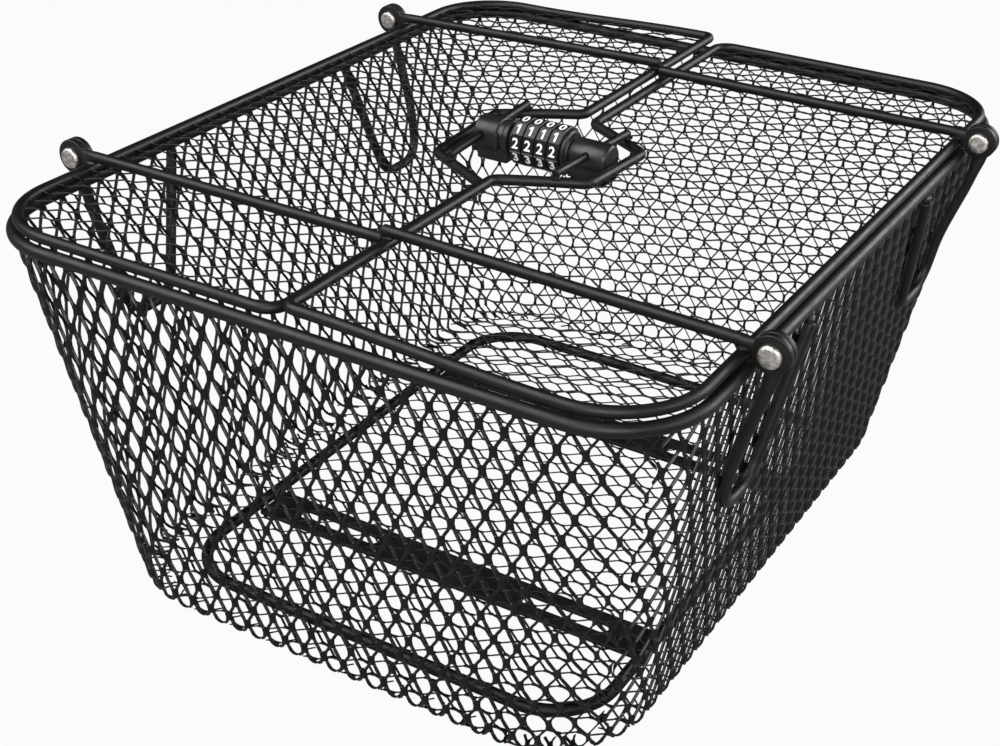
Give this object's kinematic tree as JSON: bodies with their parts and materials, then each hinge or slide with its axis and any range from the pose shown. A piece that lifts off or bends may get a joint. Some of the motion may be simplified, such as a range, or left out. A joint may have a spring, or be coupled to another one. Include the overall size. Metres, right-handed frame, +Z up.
{
  "type": "bicycle basket with two lids",
  "caption": "Rear bicycle basket of expanded metal with two lids that swing open to the sides, a combination lock between them and slotted plates underneath.",
  "frame": {"origin": "middle of the underside, in the plane of the mounting plates' lower faces", "axes": "+X across the basket to the right lid's hinges, +Y along the basket's long side to its back, +Z up"},
  "size_m": [0.3624, 0.4066, 0.21],
  "materials": {
    "wire_coat": "satin",
    "mesh_coat": "satin",
    "plate_coat": "satin",
    "rivet_steel": "satin",
    "lock_case": "satin",
    "lock_dial": "satin",
    "pin_steel": "satin"
  },
  "bodies": {
    "basket": {"rim_wire": "wire_coat", "base_ring": "wire_coat", "wall_net_front": "mesh_coat", "wall_net_back": "mesh_coat", "wall_net_left": "mesh_coat", "wall_net_right": "mesh_coat", "wall_net_front_left": "mesh_coat", "wall_net_front_right": "mesh_coat", "wall_net_back_left": "mesh_coat", "wall_net_back_right": "mesh_coat", "floor_net": "mesh_coat", "mounting_plate_front": "plate_coat", "mounting_plate_back": "plate_coat", "side_loop_front_left": "wire_coat", "side_loop_front_right": "wire_coat", "side_loop_back_left": "wire_coat", "side_loop_back_right": "wire_coat", "hinge_rivet_front_left": "rivet_steel", "hinge_rivet_front_right": "rivet_steel", "hinge_rivet_back_left": "rivet_steel", "hinge_rivet_back_right": "rivet_steel"},
    "left_lid": {"left_lid_frame": "wire_coat", "left_lid_net": "mesh_coat", "left_lid_bar_front": "wire_coat", "left_lid_bar_back": "wire_coat", "left_lock_bar": "wire_coat", "lock_head": "lock_case"},
    "right_lid": {"right_lid_frame": "wire_coat", "right_lid_net": "mesh_coat", "right_lid_bar_front": "wire_coat", "right_lid_bar_back": "wire_coat", "right_lock_bar": "wire_coat", "lock_body": "lock_case"},
    "dial_1": {"lock_dial_1": "lock_dial"},
    "dial_2": {"lock_dial_2": "lock_dial"},
    "dial_3": {"lock_dial_3": "lock_dial"},
    "dial_4": {"lock_dial_4": "lock_dial"},
    "pin": {"lock_pin": "pin_steel"}
  },
  "joints": [
    {"name": "left_lid_hinge", "type": "hinge", "parent": "basket", "child": "left_lid", "pos_m": [-0.173, 0, 0.1971], "axis": [0, -1, 0], "range_deg": [0, 225]},
    {"name": "right_lid_hinge", "type": "hinge", "parent": "basket", "child": "right_lid", "pos_m": [0.173, 0, 0.1971], "axis": [0, 1, 0], "range_deg": [0, 225]},
    {"name": "dial_1_spin", "type": "hinge", "parent": "right_lid", "child": "dial_1", "pos_m": [-0.0071, 0, 0.199], "axis": [1, 0, 0], "continuous": true},
    {"name": "dial_2_spin", "type": "hinge", "parent": "right_lid", "child": "dial_2", "pos_m": [-0.0007, 0, 0.199], "axis": [1, 0, 0], "continuous": true},
    {"name": "dial_3_spin", "type": "hinge", "parent": "right_lid", "child": "dial_3", "pos_m": [0.0057, 0, 0.199], "axis": [1, 0, 0], "continuous": true},
    {"name": "dial_4_spin", "type": "hinge", "parent": "right_lid", "child": "dial_4", "pos_m": [0.0121, 0, 0.199], "axis": [1, 0, 0], "continuous": true},
    {"name": "pin_slide", "type": "slide", "parent": "right_lid", "child": "pin", "axis": [-1, 0, 0], "range_m": [0, 0.01]}
  ]
}
